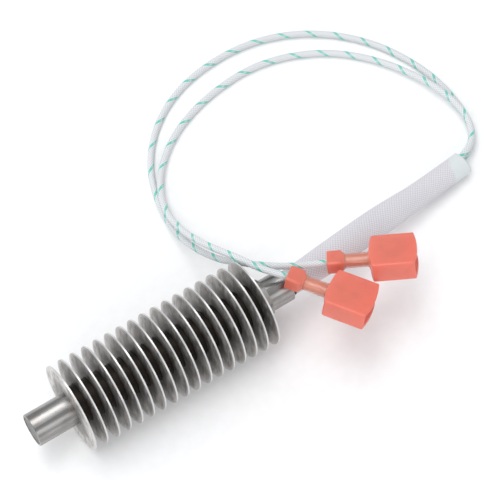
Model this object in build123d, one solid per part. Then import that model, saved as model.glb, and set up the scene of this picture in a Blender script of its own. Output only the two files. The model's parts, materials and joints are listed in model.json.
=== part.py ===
from build123d import *
import math
import os

# A finned cartridge heater. The heater lies along X on its fins, with its closed tip at -X
# and its leads at +X. Z is up, and z = 0 is the surface that the fins rest on. Millimetres.

# ---- sheath and its bare ends
SHEATH_LENGTH = 68.0
SHEATH_RADIUS = 3.97            # a 5/16 inch heater
SHEATH_WALL = 0.5
BORE_RADIUS = SHEATH_RADIUS - SHEATH_WALL
SEAT_RADIUS = 4.15              # under the fins: a little proud, so they slide over the tip and grip here
TIP_X = -SHEATH_LENGTH / 2
MOUTH_X = SHEATH_LENGTH / 2
EDGE_BREAK = 0.15               # small chamfer on the cut ends of the tube

# ---- fins, pressed on the sheath and spaced by their own drawn collars
FIN_COUNT = 17
FIN_PITCH = 3.05
FIN_RADIUS = 10.75
FIN_THICKNESS = 0.38
FIRST_FIN_X = -23.95            # tip-side face of the first fin
COLLAR_WALL = 0.42
DRAW_RADIUS = 0.35              # rounded entry that drawing the collar leaves on the other face
AXIS_Z = FIN_RADIUS             # the fins stand on the floor

# ---- inside the sheath, from the tip to the mouth
TIP_DISC_RECESS = 0.12
TIP_DISC_THICKNESS = 1.4
TIP_WAFER_THICKNESS = 1.2
CORE_RADIUS = 2.0
CORE_END_X = 15.0
WINDING_THICKNESS = 0.4
WINDING_MARGIN = 3.0            # unheated length at each end of the core
PIN_RADIUS = 0.45
PIN_HOLE_RADIUS = 0.5
PIN_END_X = 20.5
SPLICE_RADIUS = 0.8
SPLICE_START_X = 17.5
SPLICE_END_X = 24.0
SEAL_START_X = 26.0
SEAL_END_X = 29.6
PAIR_OFFSET = 0.85              # half the height between the two leads, one above the other

# ---- leads
LEAD_RADIUS = 0.8
LEAD_BORE_RADIUS = 0.5
CONDUCTOR_RADIUS = 0.45
LEAD_START_X = 25.0
CONDUCTOR_START_X = 21.0
ARC_SHARE = 0.45                # of the shorter run beside a corner

# ---- sleeve over the pair, tucked into the mouth
SLEEVE_WIDTH = 6.6
SLEEVE_HEIGHT = 4.4
SLEEVE_WALL = 0.43
SLEEVE_START_X = 30.0

# ---- push-on terminals for a 6.35 x 0.8 mm tab, each along its own x from its wire end
TERMINAL_LENGTH = 20.9          # to the middle of the bowed front edge
HOOD_LENGTH = 3.2
HOOD_WIDTH = 4.6
HOOD_HEIGHT = 3.5
HOOD_CORNER = 0.5
HOOD_BORE = (3.4, 2.3)
NECK_START = 4.2
NECK_CORNER = 1.5
BARREL_RADIUS = 1.7
BARREL_BORE_RADIUS = 1.35
SHOULDER_START = 9.6
SHOULDER_SIZE = 3.7             # where the barrel starts to open out into the box
SHOULDER_CORNER = 1.2
BOX_START = 10.5
BOX_FRONT = 20.2
BOX_WIDTH = 10.3
BOX_HEIGHT = 5.3
BOX_CORNER = 0.4
CAVITY_START = 11.8
CAVITY_WIDTH = 8.5
CAVITY_HEIGHT = 3.5
CAVITY_CORNER = 0.5
INSULATION_END = 3.4
STRAND_END = 9.0
FERRULE_SPAN = (4.5, 9.7)
FERRULE_RADIUS = 1.33
FERRULE_BORE_RADIUS = 1.08
CRIMP_LENGTH = 1.5
CRIMP_DEPTH = 0.12
CRIMP_PLACES = (5.9, 8.3)
CRIMP_BARREL_SPAN = (4.8, 9.5)
CRIMP_BARREL_RADIUS = 1.05
RECEPTACLE_SPAN = (12.2, 18.6)
RECEPTACLE_WIDTH = 7.5
RECEPTACLE_HEIGHT = 2.6
RECEPTACLE_CORNER = 0.6
RECEPTACLE_NECK = (1.9, 1.1)    # width and height
TAB_STOP = (0.4, 2.4, 1.0)      # the lug at the back of the channel that stops the tab
TAB_STOP_Z = -0.75
TAB_WIDTH = 6.35
TAB_THICKNESS = 0.8
TAB_PLAY = 0.1
ROLL_GAP = 2.2                  # open middle between the two rolled edges

# Where each terminal lies: wire-end point, then heading, pitch and roll in degrees
TERMINAL_PLACES = {
    "a": ((33.5, -1.3, 17.1), -54.5, -3.0, -11.5),
    "b": ((43.7, -2.4, 15.2), -31.5, 7.0, -18.2),
}

# Routes, as points that the arcs round off. They start inside the sheath and run through the
# sleeve. Each ends at its terminal's wire end, and lead_run adds the stretch inside that.
SLEEVE_ROUTE = [
    (SLEEVE_START_X, 0.0, 10.75),
    (40.0, 0.0, 10.75),
    (52.0, 1.8, 9.5),
    (65.5, 4.4, 6.1),
    (79.0, 6.5, 3.3),
    (91.2, 8.3, 2.45),
]
ROUTES = {
    "a": [
        (38.5, 0.0, 11.6),
        (52.0, 1.8, 10.4),
        (65.5, 4.4, 6.95),
        (79.0, 6.5, 4.15),
        (91.0, 9.1, 3.25),
        (96.9, 11.8, 3.0),
        (100.1, 17.7, 2.8),
        (99.9, 26.0, 2.6),
        (97.2, 35.0, 2.0),
        (91.5, 46.0, 1.0),
        (81.5, 55.5, 0.8),
        (67.0, 61.0, 0.8),
        (51.5, 60.0, 0.8),
        (38.0, 55.2, 0.9),
        (28.1, 46.9, 1.5),
        (23.0, 36.8, 3.4),
        (22.4, 27.2, 6.9),
        (23.5, 17.9, 12.7),
        (26.1, 9.1, 17.9),
        (28.9, 3.0, 18.6),
    ],
    "b": [
        (38.5, 0.0, 9.9),
        (52.0, 1.8, 8.7),
        (65.5, 4.4, 5.25),
        (79.0, 6.5, 2.45),
        (91.3, 9.0, 1.65),
        (97.3, 12.1, 0.8),
        (100.8, 18.7, 0.8),
        (101.4, 28.0, 0.8),
        (99.6, 38.6, 0.8),
        (93.5, 51.5, 0.8),
        (82.0, 62.4, 0.8),
        (67.0, 68.0, 0.8),
        (49.5, 67.0, 0.8),
        (36.5, 60.8, 0.8),
        (27.6, 51.0, 0.8),
        (23.7, 40.8, 0.9),
        (22.2, 31.4, 2.2),
        (22.4, 22.6, 6.0),
        (24.8, 14.6, 9.6),
        (27.0, 10.1, 13.1),
        (30.4, 5.4, 15.2),
        (36.3, 1.0, 15.4),
    ],
}

LEAD_Z = {"a": AXIS_Z + PAIR_OFFSET, "b": AXIS_Z - PAIR_OFFSET}
COLLAR_RADIUS = SEAT_RADIUS + COLLAR_WALL
FINS_END_X = FIRST_FIN_X + FIN_COUNT * FIN_PITCH
WAFER_X = TIP_X + TIP_DISC_RECESS + TIP_DISC_THICKNESS
CORE_X = WAFER_X + TIP_WAFER_THICKNESS
WINDING_RADIUS = CORE_RADIUS + WINDING_THICKNESS


def tube(start_x, end_x, radius, bore=0.0, z=AXIS_Z):
    """A round bar or tube along X, centred on y = 0 at height z."""
    section = Circle(radius)
    if bore > 0:
        section -= Circle(bore)
    return Pos(start_x, 0, z) * extrude(Plane.YZ * section, end_x - start_x)


def sheath():
    """The tube: bare at the tip and the mouth, and raised a little under the fins."""
    body = tube(TIP_X, MOUTH_X, SHEATH_RADIUS, BORE_RADIUS)
    ends = body.edges().filter_by(GeomType.CIRCLE).sort_by(SortBy.RADIUS)[-2:]
    return chamfer(ends, EDGE_BREAK) + tube(FIRST_FIN_X, FINS_END_X, SEAT_RADIUS, BORE_RADIUS)


def tip_disc():
    start = TIP_X + TIP_DISC_RECESS
    return tube(start, start + TIP_DISC_THICKNESS, BORE_RADIUS)


def fin(index):
    """A disc whose hole is drawn into a collar on the lead side, up to the next fin."""
    start = FIRST_FIN_X + index * FIN_PITCH
    entry = SEAT_RADIUS + DRAW_RADIUS
    middle = DRAW_RADIUS * (1 - math.sqrt(0.5))
    outline = Polyline(
        (0, entry),
        (0, FIN_RADIUS),
        (FIN_THICKNESS, FIN_RADIUS),
        (FIN_THICKNESS, COLLAR_RADIUS),
        (FIN_PITCH, COLLAR_RADIUS),
        (FIN_PITCH, SEAT_RADIUS),
        (DRAW_RADIUS, SEAT_RADIUS),
    )
    rounded = ThreePointArc(
        (DRAW_RADIUS, SEAT_RADIUS),
        (middle, SEAT_RADIUS + middle),
        (0, entry),
    )
    profile = make_face(outline.edges() + rounded.edges())
    return Pos(start, 0, AXIS_Z) * revolve(profile, Axis.X)


def ceramic_core():
    core = tube(CORE_X, CORE_END_X, CORE_RADIUS)
    for z in LEAD_Z.values():
        core -= tube(CORE_X, CORE_END_X, PIN_HOLE_RADIUS, z=z)
    return core


def heating_coil():
    """The close winding of resistance wire, as the tube that its turns fill."""
    return tube(CORE_X + WINDING_MARGIN, CORE_END_X - WINDING_MARGIN, WINDING_RADIUS, CORE_RADIUS)


def oxide_fill():
    """Packed powder between the winding and the sheath, closing in on the bare ends of the core."""
    fill = tube(CORE_X, CORE_END_X, BORE_RADIUS, CORE_RADIUS)
    return fill - heating_coil()


def pin(side):
    return tube(CORE_X, PIN_END_X, PIN_RADIUS, z=LEAD_Z[side])


def splice(side):
    """A crimp tube that joins a pin to the strands of its lead."""
    return tube(SPLICE_START_X, SPLICE_END_X, SPLICE_RADIUS, PIN_HOLE_RADIUS, z=LEAD_Z[side])


def end_seal():
    seal = tube(SEAL_START_X, SEAL_END_X, BORE_RADIUS)
    for z in LEAD_Z.values():
        seal -= tube(SEAL_START_X, SEAL_END_X, LEAD_RADIUS, z=z)
    return seal


def arc_radii(points):
    """The largest tangent arc at each inner point that leaves both of its runs some straight."""
    radii = []
    for before, corner, after in zip(points, points[1:], points[2:]):
        run_in = Vector(*corner) - Vector(*before)
        run_out = Vector(*after) - Vector(*corner)
        half_turn = math.radians(run_in.get_angle(run_out)) / 2
        shorter = min(run_in.length, run_out.length)
        radii.append(ARC_SHARE * shorter / math.tan(half_turn))
    return radii


def swept(points, radii, section):
    path = FilletPolyline(*points, radius=radii)
    solid = sweep(Plane(path @ 0, x_dir=(0, 1, 0), z_dir=path % 0) * section, path=path)
    return solid, path


def terminal_location(side):
    point, heading, pitch, roll = TERMINAL_PLACES[side]
    return Location(point) * Rot(Z=heading) * Rot(Y=-pitch) * Rot(X=roll)


def in_terminal(side, distance):
    """The point this far along a terminal's axis from its wire end."""
    return tuple((terminal_location(side) * Pos(distance, 0, 0)).position)


def lead_run(side, start_x, distance):
    """A lead's whole route, from inside the sheath to a distance inside its terminal."""
    start = (start_x, 0.0, LEAD_Z[side])
    entry = TERMINAL_PLACES[side][0]
    return [start] + ROUTES[side] + [entry, in_terminal(side, distance)]


def lead(side):
    section = Circle(LEAD_RADIUS) - Circle(LEAD_BORE_RADIUS)
    points = lead_run(side, LEAD_START_X, INSULATION_END)
    radii = arc_radii(points)
    solid, path = swept(points, radii, section)
    rounded = [round(radius, 1) for radius in radii]
    print(f"lead_{side}: {path.length:.1f} mm, smallest arc {min(rounded)}, arcs {rounded}")
    print(f"  volume {solid.volume:.2f}, section times length {section.area * path.length:.2f}")
    return solid


def conductor(side):
    """The strands, bent on the same arcs as their insulation and bare at both ends."""
    radii = arc_radii(lead_run(side, LEAD_START_X, INSULATION_END))
    points = lead_run(side, CONDUCTOR_START_X, STRAND_END)
    return swept(points, radii, Circle(CONDUCTOR_RADIUS))[0]


def sleeve():
    half_width = SLEEVE_WIDTH / 2
    half_height = SLEEVE_HEIGHT / 2
    inner = Ellipse(half_width - SLEEVE_WALL, half_height - SLEEVE_WALL)
    section = Ellipse(half_width, half_height) - inner
    solid, path = swept(SLEEVE_ROUTE, arc_radii(SLEEVE_ROUTE), section)
    print(f"sleeve: {path.length:.1f} mm, volume {solid.volume:.1f} against {section.area * path.length:.1f}")
    return solid


def cross_section(x, width, height, corner):
    """A rounded rectangle across a terminal's axis."""
    return Pos(x, 0, 0) * (Plane.YZ * RectangleRounded(width, height, corner))


def housing(side):
    """The one-piece nylon cover: wire hood, clear barrel, and the box that the tab enters."""
    hood_face = cross_section(HOOD_LENGTH, HOOD_WIDTH, HOOD_HEIGHT, HOOD_CORNER)
    hood = extrude(cross_section(0, HOOD_WIDTH, HOOD_HEIGHT, HOOD_CORNER), HOOD_LENGTH, dir=(1, 0, 0))
    neck_face = cross_section(NECK_START, 2 * BARREL_RADIUS, 2 * BARREL_RADIUS, NECK_CORNER)
    taper = loft([hood_face, neck_face])
    barrel = Pos(NECK_START, 0, 0) * extrude(Plane.YZ * Circle(BARREL_RADIUS), SHOULDER_START - NECK_START)
    shoulder_face = cross_section(SHOULDER_START, SHOULDER_SIZE, SHOULDER_SIZE, SHOULDER_CORNER)
    box_face = cross_section(BOX_START, BOX_WIDTH, BOX_HEIGHT, BOX_CORNER)
    shoulder = loft([shoulder_face, box_face])
    body = hood + taper + barrel + shoulder + tab_box()
    body -= extrude(cross_section(0, *HOOD_BORE, HOOD_CORNER), HOOD_LENGTH, dir=(1, 0, 0))
    body -= extrude(Plane.YZ * Circle(BARREL_BORE_RADIUS), CAVITY_START)
    cavity_face = cross_section(CAVITY_START, CAVITY_WIDTH, CAVITY_HEIGHT, CAVITY_CORNER)
    body -= extrude(cavity_face, TERMINAL_LENGTH, dir=(1, 0, 0))
    return terminal_location(side) * body


def tab_box():
    """The box, with its long edges rounded and its front edge bowed outwards."""
    half = BOX_WIDTH / 2
    sides = Polyline((BOX_FRONT, half), (BOX_START, half), (BOX_START, -half), (BOX_FRONT, -half))
    front = ThreePointArc((BOX_FRONT, -half), (TERMINAL_LENGTH, 0), (BOX_FRONT, half))
    plan = make_face(sides.edges() + front.edges())
    box = Pos(0, 0, -BOX_HEIGHT / 2) * extrude(plan, BOX_HEIGHT)
    return fillet(box.edges().filter_by(Axis.X), BOX_CORNER)


def ferrule(side):
    """The support tube round the crimp barrel, nipped at two places."""
    start, end = FERRULE_SPAN
    ring = Circle(FERRULE_RADIUS) - Circle(FERRULE_BORE_RADIUS)
    body = Pos(start, 0, 0) * extrude(Plane.YZ * ring, end - start)
    for place in CRIMP_PLACES:
        for face in (-1, 1):
            nip_z = face * (FERRULE_RADIUS - CRIMP_DEPTH / 2 + FERRULE_RADIUS / 2)
            nip = Box(CRIMP_LENGTH, 2 * FERRULE_RADIUS, FERRULE_RADIUS)
            body -= Pos(place, 0, nip_z) * nip
    return terminal_location(side) * body


def receptacle(side):
    """The tinned stamping: crimp barrel, neck, and a channel whose edges roll over the tab."""
    start, end = CRIMP_BARREL_SPAN
    ring = Circle(CRIMP_BARREL_RADIUS) - Circle(LEAD_BORE_RADIUS)
    barrel = Pos(start, 0, 0) * extrude(Plane.YZ * ring, end - start)
    channel_start, channel_end = RECEPTACLE_SPAN
    neck_length = channel_start - end
    neck = Pos(end + neck_length / 2, 0, 0) * Box(neck_length, *RECEPTACLE_NECK)
    length = channel_end - channel_start
    middle = (channel_start + channel_end) / 2
    channel = Box(length, RECEPTACLE_WIDTH, RECEPTACLE_HEIGHT)
    channel = fillet(channel.edges().filter_by(Axis.X), RECEPTACLE_CORNER)
    channel -= Box(length, TAB_WIDTH + TAB_PLAY, TAB_THICKNESS + TAB_PLAY)
    channel -= Pos(0, 0, RECEPTACLE_HEIGHT / 2) * Box(length, ROLL_GAP, RECEPTACLE_HEIGHT)
    stop = Pos(channel_start + TAB_STOP[0] / 2, 0, TAB_STOP_Z) * Box(*TAB_STOP)
    body = barrel + neck + Pos(middle, 0, 0) * channel + stop
    return terminal_location(side) * body


def parts():
    made = {
        "sheath": sheath(),
        "tip_disc": tip_disc(),
        "tip_wafer": tube(WAFER_X, CORE_X, BORE_RADIUS),
        "ceramic_core": ceramic_core(),
        "heating_coil": heating_coil(),
        "oxide_fill": oxide_fill(),
        "end_seal": end_seal(),
        "sleeve": sleeve(),
    }
    for index in range(FIN_COUNT):
        made[f"fin_{index + 1:02d}"] = fin(index)
    for side in ("a", "b"):
        made[f"pin_{side}"] = pin(side)
        made[f"splice_{side}"] = splice(side)
        made[f"lead_{side}"] = lead(side)
        made[f"conductor_{side}"] = conductor(side)
        made[f"housing_{side}"] = housing(side)
        made[f"ferrule_{side}"] = ferrule(side)
        made[f"receptacle_{side}"] = receptacle(side)
    return made


os.makedirs("parts", exist_ok=True)
for name, shape in parts().items():
    export_step(shape, f"parts/{name}.step")
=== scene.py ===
import bpy
import json
import math
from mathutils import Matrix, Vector


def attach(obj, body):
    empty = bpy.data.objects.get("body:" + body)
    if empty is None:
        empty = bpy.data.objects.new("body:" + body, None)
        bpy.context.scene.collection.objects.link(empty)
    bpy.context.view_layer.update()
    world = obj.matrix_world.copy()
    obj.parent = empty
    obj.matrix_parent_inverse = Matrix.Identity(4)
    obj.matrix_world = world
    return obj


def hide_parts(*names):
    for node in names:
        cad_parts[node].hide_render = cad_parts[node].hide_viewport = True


# A finned cartridge heater lying on a pale floor, its two leads looped behind it and ending in
# coral push-on terminals. Lengths are in metres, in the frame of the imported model, apart from the
# sections of the terminals' covers, which are in millimetres.

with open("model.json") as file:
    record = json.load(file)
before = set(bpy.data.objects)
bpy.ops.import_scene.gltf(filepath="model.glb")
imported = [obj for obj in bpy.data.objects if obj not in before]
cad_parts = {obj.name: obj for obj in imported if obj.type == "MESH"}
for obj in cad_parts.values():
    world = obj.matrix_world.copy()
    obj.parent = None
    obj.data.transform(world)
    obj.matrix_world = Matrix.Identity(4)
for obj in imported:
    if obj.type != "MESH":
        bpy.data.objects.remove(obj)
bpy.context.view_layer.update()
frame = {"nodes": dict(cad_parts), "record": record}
nodes = frame["nodes"]

SIDES = ("a", "b")
MILLIMETRE = 0.001

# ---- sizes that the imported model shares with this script
FIN_RADIUS = 0.01075
AXIS_Z = FIN_RADIUS             # the fins stand on the floor
COLLAR_RADIUS = 0.00457
FIRST_FIN_X = -0.02395          # tip-side faces of the first and last fins
LAST_FIN_X = 0.02485
LEAD_RADIUS = 0.0008
SLEEVE_WIDTH = 0.0066
SLEEVE_LENGTH = 0.0626

# ---- camera
VIEW_HEADING = 56.9             # degrees from +X towards +Y
VIEW_ELEVATION = 60.5
VIEW_DISTANCE = 0.5
VIEW_TARGET = Vector((0.032, 0.0122, 0.01075))
LENS = 154.2
SENSOR_WIDTH = 36.0
CLIP_START = 0.01
CLIP_END = 10.0

# ---- studio
SKY_COLOR = (0.95, 0.97, 1.0, 1.0)
SKY_STRENGTH = 0.62
FLOOR_HALF = 1.5
FLOOR_Z = -0.0002               # a hair under the object, so that the two never share a surface
STUDIO_LIGHTS = [               # name, place, target, size, power
    ("overhead", (-0.1, 0.12, 0.8), (0.03, 0.01, 0.0), (1.0, 0.35), 3.8),
    ("back_left", (-0.4, 0.55, 0.35), (0.0, 0.0, 0.01), (0.4, 0.3), 1.2),
    ("front_left", (-0.45, -0.5, 0.3), (0.0, 0.0, 0.01), (0.4, 0.3), 1.0),
    ("front", (0.1, -0.55, 0.4), (0.0, 0.0, 0.01), (0.6, 0.25), 0.6),
]

# ---- routes: the points that the leads and the sleeve follow
SLEEVE_ROUTE = [
    (0.0300, 0.0, 0.01075),
    (0.0400, 0.0, 0.01075),
    (0.0520, 0.0018, 0.0095),
    (0.0655, 0.0044, 0.0061),
    (0.0790, 0.0065, 0.0033),
    (0.0912, 0.0083, 0.00245),
]
LEAD_ROUTES = {
    "a": [
        (0.0250, 0.0, 0.0116),
        (0.0385, 0.0, 0.0116),
        (0.0520, 0.0018, 0.0104),
        (0.0655, 0.0044, 0.00695),
        (0.0790, 0.0065, 0.00415),
        (0.0910, 0.0091, 0.00325),
        (0.0969, 0.0118, 0.0030),
        (0.1001, 0.0177, 0.0028),
        (0.0999, 0.0260, 0.0026),
        (0.0972, 0.0350, 0.0020),
        (0.0915, 0.0460, 0.0010),
        (0.0815, 0.0555, 0.0008),
        (0.0670, 0.0610, 0.0008),
        (0.0515, 0.0600, 0.0008),
        (0.0380, 0.0552, 0.0009),
        (0.0281, 0.0469, 0.0015),
        (0.0230, 0.0368, 0.0034),
        (0.0224, 0.0272, 0.0069),
        (0.0235, 0.0179, 0.0127),
        (0.0261, 0.0091, 0.0179),
        (0.0289, 0.0030, 0.0186),
        (0.0335, -0.0013, 0.0171),
        (0.035471, -0.004064, 0.016922),
    ],
    "b": [
        (0.0250, 0.0, 0.0099),
        (0.0385, 0.0, 0.0099),
        (0.0520, 0.0018, 0.0087),
        (0.0655, 0.0044, 0.00525),
        (0.0790, 0.0065, 0.00245),
        (0.0913, 0.0090, 0.00165),
        (0.0973, 0.0121, 0.0008),
        (0.1008, 0.0187, 0.0008),
        (0.1014, 0.0280, 0.0008),
        (0.0996, 0.0386, 0.0008),
        (0.0935, 0.0515, 0.0008),
        (0.0820, 0.0624, 0.0008),
        (0.0670, 0.0680, 0.0008),
        (0.0495, 0.0670, 0.0008),
        (0.0365, 0.0608, 0.0008),
        (0.0276, 0.0510, 0.0008),
        (0.0237, 0.0408, 0.0009),
        (0.0222, 0.0314, 0.0022),
        (0.0224, 0.0226, 0.0060),
        (0.0248, 0.0146, 0.0096),
        (0.0270, 0.0101, 0.0131),
        (0.0304, 0.0054, 0.0152),
        (0.0363, 0.0010, 0.0154),
        (0.0437, -0.0024, 0.0152),
        (0.046577, -0.004163, 0.015614),
    ],
}

# ---- terminals: wire-end point, then heading, pitch and roll in degrees
TERMINAL_PLACES = {
    "a": ((0.0335, -0.0013, 0.0171), -54.5, -3.0, -11.5),
    "b": ((0.0437, -0.0024, 0.0152), -31.5, 7.0, -18.2),
}

# ---- woven detail
SIDEWAYS = Vector((0, 1, 0))    # where a tube's seam starts
TUBE_RESOLUTION = 64            # rings to each stretch of a route
LEAD_SIDES = 32
TRACER_PITCH = 0.0070           # one turn of a thread round a lead
TRACER_HALF_WIDTH = 0.08        # of a turn
TRACER_SOFT_EDGE = 0.01
LEAD_CARRIERS = 8
LEAD_RELIEF = 0.00002
SLEEVE_SIDES = 100
SLEEVE_THREADS = 25
SLEEVE_THREAD_PITCH = 0.02
SLEEVE_RELIEF = 0.00004
SLEEVE_WALL = 0.0004

# ---- shape of the sleeve, by distance from its inner end
SLEEVE_HALF_HEIGHT = 0.00222
SLACK_BEGINS = (0.004, 0.016)   # it spreads over the first of these stretches
SLACK_ENDS = (0.032, 0.048)     # and draws in again over the second
SLACK_GROWTH = (0.00048, -0.0002)       # added to half its width and half its height
DRAWN_IN = (0.038, 0.055)
DRAWN_GROWTH = (-0.0002, -0.0001)
DARK_BAND_END = 0.0046             # the sleeve is coloured dark this far from its inner end
DARK_BAND_FADE = 0.0004
COATED_START = SLEEVE_LENGTH - 0.0043       # the braid lies under varnish from here on
COATED_SMOOTH = 0.001
COATED_COLOR = (COATED_START + 0.0009, COATED_START + 0.0021)
COATED_GLOSS = (COATED_START - 0.0004, COATED_START)
COATED_RAGGED = 0.003
COATED_SLANT = 0.0014           # its edge runs this far to and fro round the sleeve

# ---- bands on a fin, by distance from the axis: each fades in or out between its two values
FIN_BURNT = (COLLAR_RADIUS + 0.00005, COLLAR_RADIUS + 0.0003)
# painted shade: the fin faces are coloured darker towards the collars, where the gaps between the fins
# lie in shade
FIN_PAINTED_SHADE = (0.0055, 0.0085)
# painted light: the outer part of each fin face, which light reaches between the fins, is coloured
# paler
FIN_PAINTED_LIGHT = (0.0096, 0.0104)
FIN_RIM = (FIN_RADIUS - 0.00016, FIN_RADIUS - 0.00005)
BURNT_BEGINS = (FIRST_FIN_X + 0.0001, FIRST_FIN_X + 0.0003)     # along the axis
BURNT_ENDS = (LAST_FIN_X, LAST_FIN_X + 0.0002)

# ---- colours
BURNT_STEEL = (0.022, 0.017, 0.013, 1.0)
LEAD_WHITE = (0.70, 0.72, 0.73, 1.0)
LEAD_HOLLOW_SHADE = (0.50, 0.53, 0.54, 1.0)
LEAD_FLUFF = (0.60, 0.58, 0.63, 1.0)
TRACER_GREEN = (0.12, 0.52, 0.43, 1.0)
SLEEVE_WHITE = (0.73, 0.72, 0.75, 1.0)
SLEEVE_HOLLOW_SHADE = (0.56, 0.55, 0.58, 1.0)
SLEEVE_FLUFF = (0.58, 0.56, 0.61, 1.0)
SLEEVE_VARNISH = (0.64, 0.68, 0.68, 1.0)
DARK_BAND_COLOR = (0.03, 0.026, 0.024, 1.0)
CORAL = (0.86, 0.20, 0.14, 1.0)
CLEAR_CORAL = (0.86, 0.28, 0.18, 1.0)
POTTING_BLACK = (0.02, 0.02, 0.02, 1.0)
FIRED_MAGNESIA = (0.80, 0.77, 0.70, 1.0)
LOOSE_MAGNESIA = (0.88, 0.87, 0.84, 1.0)
PAPER = ((0.90, 0.90, 0.90, 1.0), (0.92, 0.92, 0.92, 1.0))
NYLON_SCATTER = (0.004, 0.0012, 0.0008)     # how far red, green and blue light travel in nylon


# ---------------------------------------------------------------- nodes for materials

class Shader:
    """A new material and short calls that add and join its nodes."""

    MIX_FIRST = 6               # the two colour inputs of a Mix node, and its colour output
    MIX_SECOND = 7
    MIX_RESULT = 2

    def __init__(self, name):
        self.material = bpy.data.materials.new(name)
        self.material.use_nodes = True
        self.tree = self.material.node_tree
        self.base = self.tree.nodes["Principled BSDF"]

    def set(self, **values):
        for name, value in values.items():
            self.base.inputs[name.replace("_", " ")].default_value = value

    def node(self, kind, **settings):
        made = self.tree.nodes.new(kind)
        for name, value in settings.items():
            setattr(made, name, value)
        return made

    def feed(self, source, socket):
        if isinstance(source, (int, float, tuple)):
            socket.default_value = source
        else:
            self.tree.links.new(source, socket)

    def math(self, operation, first, second=0.0):
        made = self.node("ShaderNodeMath", operation=operation)
        self.feed(first, made.inputs[0])
        self.feed(second, made.inputs[1])
        return made.outputs[0]

    def place(self):
        return self.node("ShaderNodeTexCoord").outputs["Object"]

    def uv(self):
        split = self.node("ShaderNodeSeparateXYZ")
        self.feed(self.node("ShaderNodeTexCoord").outputs["UV"], split.inputs[0])
        return split.outputs[0], split.outputs[1]

    def noise(self, scale, detail=3.0, roughness=0.55, stretch=(1.0, 1.0, 1.0)):
        mapping = self.node("ShaderNodeMapping")
        mapping.inputs["Scale"].default_value = stretch
        self.feed(self.place(), mapping.inputs["Vector"])
        made = self.node("ShaderNodeTexNoise")
        made.inputs["Scale"].default_value = scale
        made.inputs["Detail"].default_value = detail
        made.inputs["Roughness"].default_value = roughness
        self.feed(mapping.outputs[0], made.inputs["Vector"])
        return made.outputs[0]

    def span(self, value, low, high, to_low=0.0, to_high=1.0):
        made = self.node("ShaderNodeMapRange")
        made.interpolation_type = "SMOOTHSTEP"
        made.inputs["From Min"].default_value = low
        made.inputs["From Max"].default_value = high
        made.inputs["To Min"].default_value = to_low
        made.inputs["To Max"].default_value = to_high
        self.feed(value, made.inputs["Value"])
        return made.outputs[0]

    def mix(self, factor, first, second):
        made = self.node("ShaderNodeMix", data_type="RGBA")
        self.feed(factor, made.inputs[0])
        self.feed(first, made.inputs[self.MIX_FIRST])
        self.feed(second, made.inputs[self.MIX_SECOND])
        return made.outputs[self.MIX_RESULT]

    def weave(self, around, turns, count):
        """Height of a braid where two sets of threads cross, from -2 to 2."""
        threads = 2 * math.pi * count
        one_way = self.math("ADD", around, turns)
        first = self.math("COSINE", self.math("MULTIPLY", one_way, threads))
        other_way = self.math("SUBTRACT", around, turns)
        second = self.math("COSINE", self.math("MULTIPLY", other_way, threads))
        return self.math("ADD", first, second)

    def color(self, source):
        self.feed(source, self.base.inputs["Base Color"])

    def roughness(self, source):
        self.feed(source, self.base.inputs["Roughness"])

    def bump(self, height, distance, strength=1.0):
        made = self.node("ShaderNodeBump")
        made.inputs["Distance"].default_value = distance
        made.inputs["Strength"].default_value = strength
        self.feed(height, made.inputs["Height"])
        self.feed(made.outputs[0], self.base.inputs["Normal"])

    def along_and_from_axis(self):
        """Place along the heater's axis, and distance from it."""
        split = self.node("ShaderNodeSeparateXYZ")
        self.feed(self.place(), split.inputs[0])
        height = self.math("SUBTRACT", split.outputs[2], AXIS_Z)
        across_squared = self.math("POWER", split.outputs[1], 2.0)
        height_squared = self.math("POWER", height, 2.0)
        distance = self.math("SQRT", self.math("ADD", across_squared, height_squared))
        return split.outputs[0], distance


def grey(level, warm):
    """A grey of this level, warmed by this share."""
    return (level * (1 + warm), level, level * (1 - warm), 1.0)


# ---------------------------------------------------------------- materials

def sheath_steel():
    """Drawn stainless tube, with fine lengthwise grain and faint stains."""
    s = Shader("sheath_steel")
    s.set(Metallic=1.0)
    grain = s.noise(900.0, detail=4.0, roughness=0.6, stretch=(0.03, 1.0, 1.0))
    stain = s.noise(160.0, detail=3.0, roughness=0.6)
    clean = s.mix(s.span(grain, 0.35, 0.65), grey(0.28, 0.03), grey(0.39, 0.02))
    s.color(s.mix(s.span(stain, 0.45, 0.75), clean, grey(0.25, 0.06)))
    s.roughness(s.span(grain, 0.3, 0.7, 0.24, 0.34))
    s.bump(grain, distance=0.00002, strength=0.35)
    return s.material


def tip_steel():
    """Welded end disc, matt and slightly uneven."""
    s = Shader("tip_steel")
    s.set(Metallic=1.0)
    cloud = s.noise(700.0, detail=5.0, roughness=0.65)
    s.color(s.mix(s.span(cloud, 0.3, 0.7), grey(0.13, 0.02), grey(0.22, 0.01)))
    s.roughness(s.span(cloud, 0.3, 0.7, 0.38, 0.55))
    s.bump(cloud, distance=0.00006, strength=0.5)
    return s.material


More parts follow.
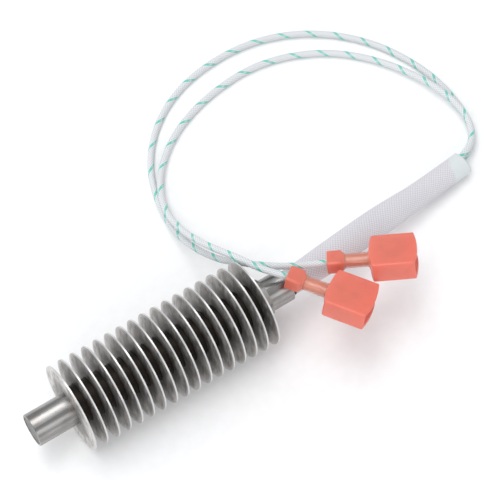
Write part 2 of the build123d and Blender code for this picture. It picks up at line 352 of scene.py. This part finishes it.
def fin_steel():
    """Stamped sheet with mottled faces and bright cut rims, burnt dark round the collars, with painted
    shade on the faces near the collars and painted light on their outer parts.
    """
    s = Shader("fin_steel")
    s.set(Metallic=0.75)
    mottle = s.noise(420.0, detail=5.0, roughness=0.62, stretch=(1.0, 1.0, 0.45))
    streak = s.noise(1500.0, detail=3.0, roughness=0.6, stretch=(1.0, 1.0, 0.08))
    along, radius = s.along_and_from_axis()
    rim = s.span(radius, *FIN_RIM)
    face = s.mix(s.span(mottle, 0.38, 0.62), grey(0.27, 0.07), grey(0.66, 0.03))
    face = s.mix(s.span(streak, 0.35, 0.75, 0.0, 0.4), face, grey(0.76, 0.03))
    # painted shade on the fin faces, darkest next to the collars
    face = s.mix(s.span(radius, *FIN_PAINTED_SHADE, to_low=0.5, to_high=0.0), face, grey(0.05, 0.08))
    # painted light on the outer parts of the fin faces, near the rims
    face = s.mix(s.span(radius, *FIN_PAINTED_LIGHT, to_low=0.0, to_high=0.6), face, grey(0.74, 0.02))
    face = s.mix(rim, face, grey(0.66, 0.015))
    near_collar = s.span(radius, *FIN_BURNT, to_low=1.0, to_high=0.0)
    after_first = s.span(along, *BURNT_BEGINS)
    before_last = s.span(along, *BURNT_ENDS, to_low=1.0, to_high=0.0)
    burnt = s.math("MULTIPLY", near_collar, s.math("MULTIPLY", after_first, before_last))
    s.color(s.mix(burnt, face, BURNT_STEEL))
    dull = s.span(mottle, 0.3, 0.7, 0.42, 0.58)
    s.roughness(s.math("SUBTRACT", dull, s.math("MULTIPLY", rim, 0.08)))
    s.bump(mottle, distance=0.00004, strength=0.4)
    return s.material


def lead_braid():
    """White glass braid with one green thread wound through it, paler where others cross it, and
    painted shade in the hollows between its threads.
    """
    s = Shader("lead_braid")
    s.set(Roughness=0.72, Sheen_Weight=0.15)
    around, along = s.uv()
    turns = s.math("DIVIDE", along, TRACER_PITCH)
    one_way = s.math("ADD", around, turns)
    other_way = s.math("SUBTRACT", around, turns)
    tracer = s.math("ABSOLUTE", s.math("SUBTRACT", s.math("FRACT", other_way), 0.5))
    tracer_edge = (TRACER_HALF_WIDTH - TRACER_SOFT_EDGE, TRACER_HALF_WIDTH + TRACER_SOFT_EDGE)
    on_tracer = s.span(tracer, *tracer_edge, to_low=1.0, to_high=0.0)
    over = s.math("COSINE", s.math("MULTIPLY", one_way, 4 * math.pi))      # twice in a turn
    shows = s.math("MULTIPLY", on_tracer, s.span(over, -0.9, 0.3, 0.5, 0.95))
    weave = s.weave(around, turns, LEAD_CARRIERS)
    fluff = s.noise(2500.0, detail=3.0, roughness=0.6)
    # painted shade: the braid is coloured darker in the hollows between its threads
    white = s.mix(s.span(weave, -1.4, 0.4), LEAD_HOLLOW_SHADE, LEAD_WHITE)
    white = s.mix(s.span(fluff, 0.4, 0.8, 0.0, 0.35), white, LEAD_FLUFF)
    s.color(s.mix(shows, white, TRACER_GREEN))
    s.bump(s.math("ADD", weave, fluff), distance=0.00002, strength=0.6)
    return s.material


def sleeve_braid():
    """Fine off-white woven sleeve with painted shade in the hollows of its weave, a smooth varnished
    end, and its inner end coloured dark.
    """
    s = Shader("sleeve_braid")
    s.set(Sheen_Weight=0.12)
    around, along = s.uv()
    turns = s.math("DIVIDE", along, SLEEVE_THREAD_PITCH)
    weave = s.weave(around, turns, SLEEVE_THREADS)
    fluff = s.noise(2200.0, detail=3.0, roughness=0.6)
    # painted shade: the sleeve is coloured darker in the hollows between its threads
    cloth = s.mix(s.span(weave, -0.2, 1.4), SLEEVE_HOLLOW_SHADE, SLEEVE_WHITE)
    cloth = s.mix(s.span(fluff, 0.45, 0.75, 0.0, 0.45), cloth, SLEEVE_FLUFF)
    one_side = s.math("COSINE", s.math("MULTIPLY", around, 2 * math.pi))
    ragged = s.math("MULTIPLY", s.noise(300.0, detail=3.0, roughness=0.5), COATED_RAGGED)
    edge = s.math("SUBTRACT", s.math("ADD", along, ragged), s.math("MULTIPLY", one_side, COATED_SLANT))
    # the first few millimetres of the sleeve, beside the sheath's mouth, are coloured dark
    dark_band = s.span(along, DARK_BAND_END, DARK_BAND_END + DARK_BAND_FADE, 1.0, 0.0)
    cloth = s.mix(dark_band, cloth, DARK_BAND_COLOR)
    s.color(s.mix(s.span(edge, *COATED_COLOR), cloth, SLEEVE_VARNISH))
    s.roughness(s.span(along, *COATED_GLOSS, to_low=0.75, to_high=0.42))
    s.bump(s.math("ADD", weave, fluff), distance=0.00003, strength=0.5)
    return s.material


def nylon(name, color, alpha):
    """Translucent moulded nylon with a faint satin grain."""
    s = Shader(name)
    s.set(Alpha=alpha, IOR=1.53)
    s.set(Subsurface_Weight=0.45, Subsurface_Radius=NYLON_SCATTER, Subsurface_Scale=1.0)
    cloud = s.noise(260.0, detail=3.0, roughness=0.5)
    grain = s.noise(3500.0, detail=2.0, roughness=0.5)
    deep = tuple(channel * 0.92 for channel in color[:3]) + (1.0,)
    s.color(s.mix(s.span(cloud, 0.35, 0.7), color, deep))
    s.roughness(s.span(cloud, 0.3, 0.7, 0.30, 0.40))
    s.bump(grain, distance=0.00001, strength=0.3)
    return s.material


def plain_metal(name, color, dark, rough, scale=600.0):
    """Bare metal with cloudy tarnish."""
    s = Shader(name)
    s.set(Metallic=1.0)
    cloud = s.noise(scale, detail=4.0, roughness=0.6)
    s.color(s.mix(s.span(cloud, 0.35, 0.7), color, dark))
    s.roughness(s.span(cloud, 0.3, 0.7, rough, rough + 0.12))
    s.bump(cloud, distance=0.00003, strength=0.3)
    return s.material


def mineral(name, color, rough, scale=900.0):
    """A matt, speckled powder, ceramic or resin."""
    s = Shader(name)
    speck = s.noise(scale, detail=5.0, roughness=0.7)
    dark = tuple(channel * 0.8 for channel in color[:3]) + (1.0,)
    s.color(s.mix(s.span(speck, 0.4, 0.7), color, dark))
    s.roughness(s.span(speck, 0.3, 0.7, rough - 0.08, rough))
    s.bump(speck, distance=0.00005, strength=0.6)
    return s.material


def floor_paper():
    """Pale matt paper under the object."""
    s = Shader("floor_paper")
    tooth = s.noise(400.0, detail=3.0, roughness=0.5)
    s.color(s.mix(s.span(tooth, 0.3, 0.7), *PAPER))
    s.set(Roughness=0.9)
    s.bump(tooth, distance=0.00002, strength=0.2)
    return s.material


# ---------------------------------------------------------------- shapes

def new_piece(name, verts, faces, material):
    """A smooth-shaded mesh piece on the one body."""
    mesh = bpy.data.meshes.new(name)
    mesh.from_pydata(verts, [], faces)
    mesh.shade_smooth()
    mesh.materials.append(material)
    piece = bpy.data.objects.new(name, mesh)
    bpy.context.scene.collection.objects.link(piece)
    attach(piece, "root")
    return piece


def route_line(name, points):
    """Points along a smooth curve whose control points are the route's."""
    data = bpy.data.curves.new(name, "CURVE")
    data.dimensions = "3D"
    data.resolution_u = TUBE_RESOLUTION
    spline = data.splines.new("NURBS")
    spline.points.add(len(points) - 1)
    for control, place in zip(spline.points, points):
        control.co = (*place, 1.0)
    spline.order_u = 3
    spline.use_endpoint_u = True
    curve = bpy.data.objects.new(name, data)
    line = bpy.data.meshes.new_from_object(curve)
    places = [vertex.co.copy() for vertex in line.vertices]
    bpy.data.objects.remove(curve)
    bpy.data.curves.remove(data)
    bpy.data.meshes.remove(line)
    return places


def line_frames(line, side):
    """Each point of a line, its distance along, and two directions across, carried without twist."""
    frames = []
    travelled = 0.0
    for index, place in enumerate(line):
        before = line[max(index - 1, 0)]
        after = line[min(index + 1, len(line) - 1)]
        ahead = (after - before).normalized()
        side = (side - ahead * side.dot(ahead)).normalized()
        if index:
            travelled += (place - before).length
        frames.append((place, travelled, side, ahead.cross(side)))
    return frames


def tube_mesh(name, rings, closed_ends, distances, material):
    """A tube through rings of points, with a UV map of turn and distance."""
    count = len(rings[0])
    verts = [point for ring in rings for point in ring]
    faces = []
    for index in range(len(rings) - 1):
        start = index * count
        for k in range(count):
            following = (k + 1) % count
            faces.append((start + k, start + following, start + count + following, start + count + k))
    if closed_ends:
        faces.append(tuple(reversed(range(count))))
        faces.append(tuple(range(len(verts) - count, len(verts))))
    piece = new_piece(name, verts, faces, material)
    layer = piece.data.uv_layers.new(name="UVMap")
    for polygon in piece.data.polygons:
        turns = [piece.data.loops[loop].vertex_index % count for loop in polygon.loop_indices]
        wraps = max(turns) - min(turns) > count // 2 and len(turns) == 4
        for loop, turn in zip(polygon.loop_indices, turns):
            vertex = piece.data.loops[loop].vertex_index
            turn = turn + count if wraps and turn == 0 else turn
            layer.data[loop].uv = (turn / count, distances[vertex // count])
    return piece


def woven_height(around, turns, threads):
    """How far the surface of a braid stands out where two sets of threads cross, from -1 to 1."""
    first = math.cos(2 * math.pi * threads * (around + turns))
    second = math.cos(2 * math.pi * threads * (around - turns))
    return (first + second) / 2


def lead_piece(side):
    """One braided lead, with the line it follows and its length."""
    line = route_line("lead_route", LEAD_ROUTES[side])
    rings = []
    distances = []
    for place, travelled, across, up in line_frames(line, SIDEWAYS):
        turns = travelled / TRACER_PITCH
        ring = []
        for k in range(LEAD_SIDES):
            around = k / LEAD_SIDES
            angle = 2 * math.pi * around
            radius = LEAD_RADIUS + LEAD_RELIEF * woven_height(around, turns, LEAD_CARRIERS)
            ring.append(place + radius * (across * math.cos(angle) + up * math.sin(angle)))
        rings.append(ring)
        distances.append(travelled)
    piece = tube_mesh(f"braided_lead_{side}", rings, True, distances, materials["lead_braid"])
    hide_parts(f"lead_{side}", f"conductor_{side}")
    return piece, line, distances[-1]


def ease(value, low, high):
    """A smooth step from 0 at low to 1 at high."""
    share = min(max((value - low) / (high - low), 0.0), 1.0)
    return share * share * (3 - 2 * share)


def sleeve_half_sizes(travelled):
    """Half width and half height: round in the mouth, slack and flat halfway, drawn in at the end."""
    slack = ease(travelled, *SLACK_BEGINS) - ease(travelled, *SLACK_ENDS)
    drawn = ease(travelled, *DRAWN_IN)
    half_width = SLEEVE_WIDTH / 2 + SLACK_GROWTH[0] * slack + DRAWN_GROWTH[0] * drawn
    half_height = SLEEVE_HALF_HEIGHT + SLACK_GROWTH[1] * slack + DRAWN_GROWTH[1] * drawn
    return half_width, half_height


def sleeve_ring(frame_at, inset, relief):
    """One ring of the sleeve, set in from its surface by inset and woven as high as relief."""
    place, travelled, across, up = frame_at
    half_width, half_height = sleeve_half_sizes(travelled)
    smooth = ease(travelled, COATED_START, COATED_START + COATED_SMOOTH)
    turns = travelled / SLEEVE_THREAD_PITCH
    ring = []
    for k in range(SLEEVE_SIDES):
        around = k / SLEEVE_SIDES
        angle = 2 * math.pi * around
        height = woven_height(around, turns, SLEEVE_THREADS)
        lift = relief * (1 - smooth) * height - inset
        sideways = across * math.cos(angle) * (half_width + lift)
        ring.append(place + sideways + up * math.sin(angle) * (half_height + lift))
    return ring


def sleeve_piece():
    """The woven sleeve, open at its outer end, with a real wall."""
    line = route_line("sleeve_route", SLEEVE_ROUTE)
    frames = line_frames(line, SIDEWAYS)
    rings = []
    distances = []
    for frame_at in frames:
        rings.append(sleeve_ring(frame_at, 0.0, SLEEVE_RELIEF))
        distances.append(frame_at[1])
    for frame_at in reversed(frames):
        rings.append(sleeve_ring(frame_at, SLEEVE_WALL, 0.0))
        distances.append(frame_at[1])
    rings.append(rings[0])
    distances.append(0.0)
    piece = tube_mesh("woven_sleeve", rings, False, distances, materials["sleeve_braid"])
    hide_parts("sleeve")
    return piece, line, frames[-1][1]


def terminal_axes(side):
    """Wire-end point, then the directions along, across and out of the broad face."""
    place, heading, pitch, roll = TERMINAL_PLACES[side]
    heading, pitch, roll = (math.radians(angle) for angle in (heading, pitch, roll))
    flat = math.cos(pitch)
    along = Vector((flat * math.cos(heading), flat * math.sin(heading), math.sin(pitch)))
    level = Vector((-math.sin(heading), math.cos(heading), 0.0))
    rise = along.cross(level)
    across = math.cos(roll) * level + math.sin(roll) * rise
    out = math.cos(roll) * rise - math.sin(roll) * level
    return Vector(place), along, across, out


# Housing sections from the wire end to the front, then back through the inside. Millimetres:
# distance, half width, half height, corner radius, how far the middle swells along the axis.
HOUSING_SECTIONS = [
    (0.00, 2.12, 1.57, 0.40, 0.0),
    (0.06, 2.25, 1.70, 0.48, 0.0),
    (0.20, 2.30, 1.75, 0.50, 0.0),
    (3.10, 2.32, 1.76, 0.50, 0.0),
    (3.30, 2.26, 1.73, 0.60, 0.0),
    (4.10, 1.74, 1.68, 1.60, 0.0),
    (4.40, 1.70, 1.70, 1.65, 0.0),
    (6.90, 1.68, 1.68, 1.63, 0.0),
    (9.30, 1.72, 1.70, 1.65, 0.0),
    (9.60, 1.85, 1.76, 1.60, 0.0),
    (10.05, 3.10, 2.10, 1.20, -0.20),
    (10.35, 4.80, 2.45, 0.60, -0.60),
    (10.50, 5.10, 2.60, 0.38, -0.70),
    (10.80, 5.15, 2.65, 0.34, -0.70),
    (14.00, 5.17, 2.66, 0.34, 0.0),
    (17.00, 5.17, 2.66, 0.34, 0.35),
    (20.00, 5.15, 2.65, 0.34, 0.70),
    (20.14, 5.12, 2.62, 0.34, 0.70),
    (20.20, 5.04, 2.54, 0.32, 0.70),
    (20.20, 4.38, 1.88, 0.40, 0.70),
    (20.10, 4.28, 1.78, 0.40, 0.70),
    (16.00, 4.25, 1.75, 0.40, 0.30),
    (11.80, 4.22, 1.72, 0.40, -0.2),
    (11.30, 2.60, 1.50, 0.90, 0.0),
    (10.90, 1.40, 1.36, 1.30, 0.0),
    (4.20, 1.35, 1.35, 1.30, 0.0),
    (3.20, 1.70, 1.15, 0.40, 0.0),
    (0.10, 1.72, 1.17, 0.40, 0.0),
    (0.00, 1.80, 1.25, 0.40, 0.0),
]
CLEAR_SECTIONS = (*range(5, 9), *range(24, 26))     # the clear barrel, outside and inside
CORNER_STEPS = 6
SIDE_STEPS = 8
QUARTER_TURN = math.radians(90)


def rounded_outline(half_width, half_height, corner):
    """Points round a rectangle with rounded corners, the same number for every size."""
    outline = []
    centres = [(1, 1), (-1, 1), (-1, -1), (1, -1)]
    for quarter, (right, top) in enumerate(centres):
        centre_x = right * (half_width - corner)
        centre_y = top * (half_height - corner)
        for step in range(CORNER_STEPS + 1):
            angle = QUARTER_TURN * (quarter + step / CORNER_STEPS)
            outline.append((centre_x + corner * math.cos(angle), centre_y + corner * math.sin(angle)))
        next_right, next_top = centres[(quarter + 1) % 4]
        last_x, last_y = outline[-1]
        turn = QUARTER_TURN * (quarter + 1)
        goal_x = next_right * (half_width - corner) + corner * math.cos(turn)
        goal_y = next_top * (half_height - corner) + corner * math.sin(turn)
        for step in range(1, SIDE_STEPS):
            share = step / SIDE_STEPS
            outline.append((last_x + (goal_x - last_x) * share, last_y + (goal_y - last_y) * share))
    return outline


def housing_piece(side):
    """A terminal's nylon cover: square hood, clear round barrel and flat box, hollow all through."""
    place, along, across, out = terminal_axes(side)
    rings = []
    distances = []
    for distance, half_width, half_height, corner, swell in HOUSING_SECTIONS:
        ring = []
        for x, y in rounded_outline(half_width, half_height, corner):
            bulge = swell * (1 - (x / half_width) ** 2)
            ring.append(place + (along * (distance + bulge) + across * x + out * y) * MILLIMETRE)
        rings.append(ring)
        distances.append(distance * MILLIMETRE)
    rings.append(rings[0])
    distances.append(0.0)
    piece = tube_mesh(f"nylon_cover_{side}", rings, False, distances, materials["nylon"])
    piece.data.materials.append(materials["nylon_clear"])
    count = len(rings[0])
    for polygon in piece.data.polygons:
        if min(polygon.vertices) // count in CLEAR_SECTIONS:
            polygon.material_index = 1
    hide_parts(f"housing_{side}")
    return piece


# ---------------------------------------------------------------- scene

def add_camera():
    heading = math.radians(VIEW_HEADING)
    elevation = math.radians(VIEW_ELEVATION)
    ahead = Vector((
        math.cos(elevation) * math.cos(heading),
        math.cos(elevation) * math.sin(heading),
        -math.sin(elevation),
    ))
    data = bpy.data.cameras.new("camera")
    data.lens = LENS
    data.sensor_width = SENSOR_WIDTH
    data.clip_start = CLIP_START
    data.clip_end = CLIP_END
    camera = bpy.data.objects.new("camera", data)
    camera.location = VIEW_TARGET - VIEW_DISTANCE * ahead
    camera.rotation_euler = ahead.to_track_quat("-Z", "Y").to_euler()
    bpy.context.scene.collection.objects.link(camera)
    bpy.context.scene.camera = camera


def add_light(name, place, target, size, power):
    data = bpy.data.lights.new(name, "AREA")
    data.shape = "RECTANGLE"
    data.size, data.size_y = size
    data.energy = power
    light = bpy.data.objects.new(name, data)
    light.location = place
    light.rotation_euler = (Vector(target) - Vector(place)).to_track_quat("-Z", "Y").to_euler()
    bpy.context.scene.collection.objects.link(light)


def add_studio():
    world = bpy.data.worlds.new("studio")
    world.use_nodes = True
    background = world.node_tree.nodes["Background"]
    background.inputs["Color"].default_value = SKY_COLOR
    background.inputs["Strength"].default_value = SKY_STRENGTH
    bpy.context.scene.world = world
    bpy.context.scene.view_settings.view_transform = "Standard"
    for light in STUDIO_LIGHTS:
        add_light(*light)


def add_floor():
    half = FLOOR_HALF
    corners = [(-half, -half, 0.0), (half, -half, 0.0), (half, half, 0.0), (-half, half, 0.0)]
    mesh = bpy.data.meshes.new("floor")
    mesh.from_pydata(corners, [], [(0, 1, 2, 3)])
    mesh.materials.append(floor_paper())
    floor = bpy.data.objects.new("floor", mesh)
    floor.location.z = FLOOR_Z
    bpy.context.scene.collection.objects.link(floor)


def paint_cad_nodes():
    """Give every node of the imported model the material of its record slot."""
    slots = {entry["node"]: entry["material_slot"] for entry in frame["record"]["subparts"]}
    for name, node in nodes.items():
        node.material_slots[0].material = materials[slots[name]]


materials = {
    "sheath_steel": sheath_steel(),
    "tip_steel": tip_steel(),
    "fin_steel": fin_steel(),
    "magnesia": mineral("magnesia", FIRED_MAGNESIA, 0.8),
    "magnesia_powder": mineral("magnesia_powder", LOOSE_MAGNESIA, 0.95, 2500.0),
    "resistance_wire": plain_metal("resistance_wire", grey(0.22, 0.05), grey(0.12, 0.08), 0.5),
    "nickel": plain_metal("nickel", grey(0.62, 0.04), grey(0.45, 0.04), 0.32),
    "strands": plain_metal("strands", grey(0.66, 0.05), grey(0.46, 0.06), 0.35, 2500.0),
    "potting": mineral("potting", POTTING_BLACK, 0.8),
    "lead_braid": lead_braid(),
    "sleeve_braid": sleeve_braid(),
    "nylon": nylon("nylon", CORAL, 0.84),
    "nylon_clear": nylon("nylon_clear", CLEAR_CORAL, 0.42),
    "tinned_ferrule": plain_metal("tinned_ferrule", grey(0.74, 0.04), grey(0.50, 0.05), 0.28, 1200.0),
    "tinned_brass": plain_metal("tinned_brass", grey(0.70, 0.05), grey(0.52, 0.07), 0.3),
}

add_camera()
add_studio()
add_floor()
paint_cad_nodes()

covers = {side: housing_piece(side) for side in SIDES}
for side in SIDES:
    lead, line, length = lead_piece(side)
sleeve, sleeve_line, sleeve_length = sleeve_piece()
